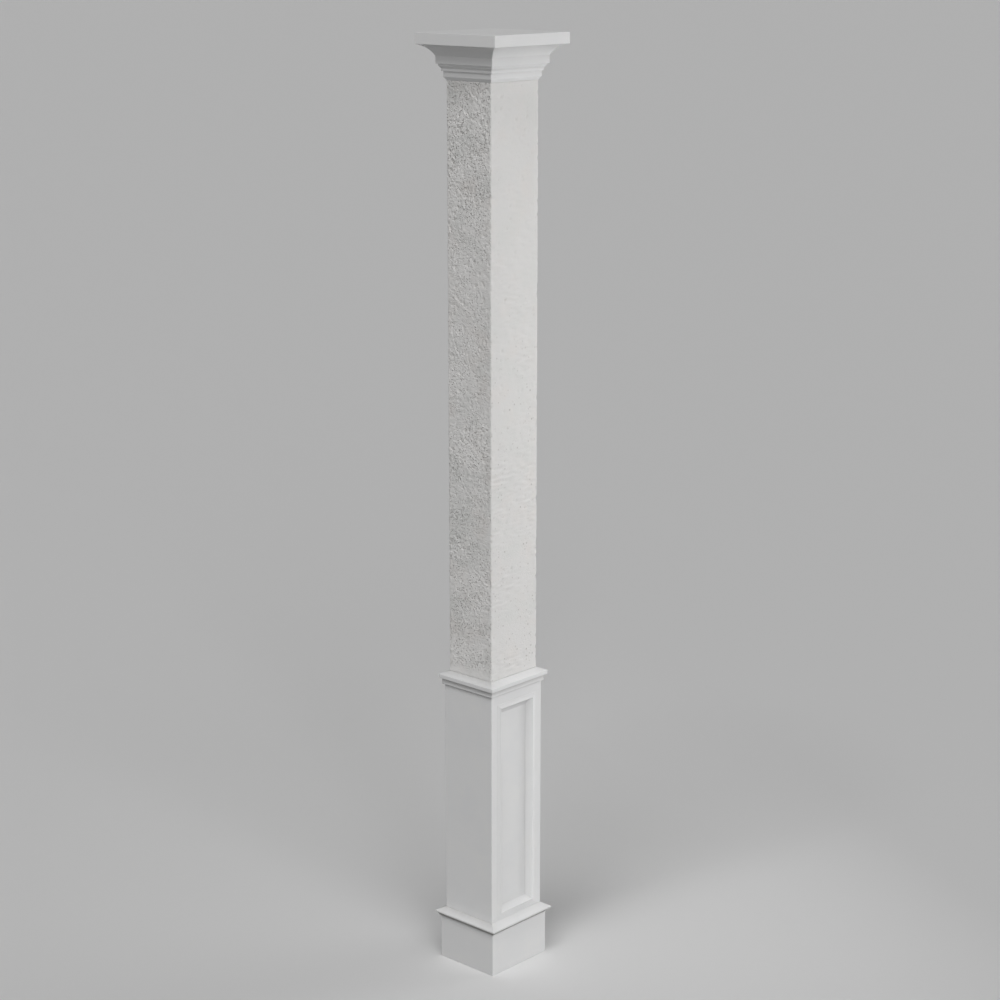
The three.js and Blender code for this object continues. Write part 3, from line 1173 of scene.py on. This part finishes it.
def quiet_world():
    """A pale backdrop for the camera and for the paint's sheen, which adds hardly any other light."""
    world = bpy.data.worlds.new("studio")
    world.use_nodes = True
    tree = world.node_tree
    tree.nodes.clear()
    path = add_node(tree, "ShaderNodeLightPath")
    seen = calculated(tree, "MAXIMUM", path.outputs["Is Camera Ray"], path.outputs["Is Glossy Ray"])
    dim = add_node(tree, "ShaderNodeBackground", {"Color": grey(BACKDROP_BOUNCE)})
    pale = add_node(tree, "ShaderNodeBackground", {"Color": grey(BACKDROP_SEEN)})
    mixed = add_node(
        tree, "ShaderNodeMixShader", {0: seen, 1: dim.outputs["Background"], 2: pale.outputs["Background"]}
    )
    add_node(tree, "ShaderNodeOutputWorld", {"Surface": mixed.outputs["Shader"]})
    bpy.context.scene.world = world


def photo_camera():
    """The camera, with the column framed as the photograph frames it."""
    camera = bpy.data.cameras.new("camera")
    camera.lens = CAMERA_LENS_MM
    camera.sensor_width = CAMERA_SENSOR_MM
    camera.clip_end = CAMERA_FAR_END
    viewer = add_object("camera", camera)
    viewer.location = CAMERA_PLACE
    viewer.rotation_euler = [math.radians(angle) for angle in CAMERA_TURN_DEG]
    bpy.context.scene.camera = viewer


# Operators

class COLUMN_OT_base(bpy.types.Operator):
    """Builds the plinth and the moulding over it"""

    bl_idname = "column.base"
    bl_label = "Base"

    def execute(self, context):
        finish = context.scene.column_paint
        material = white_paint("level", finish)
        set_piece(block("plinth_block", "plinth", finish.arris), "plinth", material)
        profile = Profile(PLINTH_REACH, 0).line(*BASE_CHAMFER)
        # The cove under the nose carries painted shade.
        profile.curve(BASE_COVE_PULL, 1, BASE_NOSE_UNDERSIDE, shaded=True)
        profile.line(1, BASE_NOSE_TOP)
        profile.slope(0, (head("plinth_cap") - foot("plinth_cap")) / MM)
        piece = moulding("plinth_moulding", "plinth_cap", plan("pedestal"), profile, finish.arris)
        set_piece(piece, "plinth_cap", material)
        return {"FINISHED"}


class COLUMN_OT_pedestal(bpy.types.Operator):
    """Builds the panelled pedestal and the moulding planted round its panel"""

    bl_idname = "column.pedestal"
    bl_label = "Pedestal"

    def execute(self, context):
        finish = context.scene.column_paint
        material = white_paint("upright", finish)
        set_piece(pedestal_box(finish.arris), "pedestal", material)
        piece = panel_moulding(MOULDING_EASING * finish.arris)
        set_piece(piece, "panel_moulding", material)
        return {"FINISHED"}


class COLUMN_OT_belt(bpy.types.Operator):
    """Builds the belt moulding that caps the pedestal"""

    bl_idname = "column.belt"
    bl_label = "Belt"

    def execute(self, context):
        finish = context.scene.column_paint
        profile = Profile(BELT_FILLET_REACH, 0).line(BELT_FILLET_REACH, BELT_SLAB_UNDERSIDE)
        profile.line(1, BELT_SLAB_UNDERSIDE).line(1, BELT_SLAB_TOP)
        profile.slope(0, (head("pedestal_cap") - foot("pedestal_cap")) / MM)
        piece = moulding("belt_moulding", "pedestal_cap", plan("shaft"), profile, finish.arris)
        set_piece(piece, "pedestal_cap", white_paint("level", finish))
        return {"FINISHED"}


class COLUMN_OT_shaft(bpy.types.Operator):
    """Builds the shaft with its rough plaster"""

    bl_idname = "column.shaft"
    bl_label = "Shaft"

    def execute(self, context):
        finish = context.scene.column_plaster
        set_piece(plastered_shaft(finish), "shaft", rough_plaster(finish))
        return {"FINISHED"}


class COLUMN_OT_capital(bpy.types.Operator):
    """Builds the capital's run of mouldings and the abacus on it"""

    bl_idname = "column.capital"
    bl_label = "Capital"

    def execute(self, context):
        finish = context.scene.column_paint
        material = white_paint("level", finish)
        profile = Profile(0, 0).line(NECK_BAND_REACH, NECK_BAND_UNDERSIDE)
        profile.line(NECK_BAND_REACH, NECK_BAND_TOP).line(NECK_FILLET_REACH, NECK_BAND_TOP)
        profile.line(NECK_FILLET_REACH, NECK_FILLET_TOP).line(QUIRK_REACH, QUIRK_UNDERSIDE)
        profile.line(QUIRK_REACH, FASCIA_UNDERSIDE).line(FASCIA_REACH, FASCIA_UNDERSIDE)
        profile.line(FASCIA_REACH, FASCIA_TOP)
        profile.curve(COVE_PULL, 1, (head("capital") - foot("capital")) / MM)
        # The capital's creases carry only a little painted shade.
        piece = moulding("capital_moulding", "capital", plan("shaft"), profile, finish.arris, CAPITAL_SHADE)
        set_piece(piece, "capital", material)
        set_piece(block("abacus_slab", "abacus", finish.arris), "abacus", material)
        return {"FINISHED"}


class COLUMN_OT_stage(bpy.types.Operator):
    """Sets up the floor, the lights and the camera"""

    bl_idname = "column.stage"
    bl_label = "Stage"

    def execute(self, context):
        stage = context.scene.column_stage
        pale_floor(stage)
        quiet_world()
        for name, (azimuth, elevation, spread) in SOFT_LIGHTS.items():
            soft_light(name, azimuth, elevation, spread, getattr(stage, name))
        light_panel(stage.panel_light)
        photo_camera()
        context.scene.view_settings.view_transform = "Standard"
        return {"FINISHED"}


class COLUMN_PT_builder(bpy.types.Panel):
    """Lists the column's pieces and finishes"""

    bl_idname = "COLUMN_PT_builder"
    bl_label = "Square Porch Column"
    bl_space_type = "VIEW_3D"
    bl_region_type = "UI"
    bl_category = "Column"

    def draw(self, context):
        for operator in OPERATORS:
            self.layout.operator(operator.bl_idname)
        for group, kind in SETTINGS.items():
            box = self.layout.box()
            for name in kind.__annotations__:
                box.prop(getattr(context.scene, group), name)


SETTINGS = {"column_paint": PaintFinish, "column_plaster": PlasterFinish, "column_stage": StudioStage}
OPERATORS = (
    COLUMN_OT_base,
    COLUMN_OT_pedestal,
    COLUMN_OT_belt,
    COLUMN_OT_shaft,
    COLUMN_OT_capital,
    COLUMN_OT_stage,
)
CLASSES = (*SETTINGS.values(), *OPERATORS, COLUMN_PT_builder)


def register():
    """Registers the classes and gives the scene its settings."""
    for made in CLASSES:
        bpy.utils.register_class(made)
    for group, kind in SETTINGS.items():
        setattr(bpy.types.Scene, group, bpy.props.PointerProperty(type=kind))


def unregister():
    """Takes the settings and the classes away again."""
    for group in SETTINGS:
        delattr(bpy.types.Scene, group)
    for made in reversed(CLASSES):
        bpy.utils.unregister_class(made)


def main():
    """Builds the column on its stage."""
    register()
    bpy.ops.column.base()
    bpy.ops.column.pedestal()
    bpy.ops.column.belt()
    bpy.ops.column.shaft()
    bpy.ops.column.capital()
    bpy.ops.column.stage()


if __name__ == "__main__":
    main()
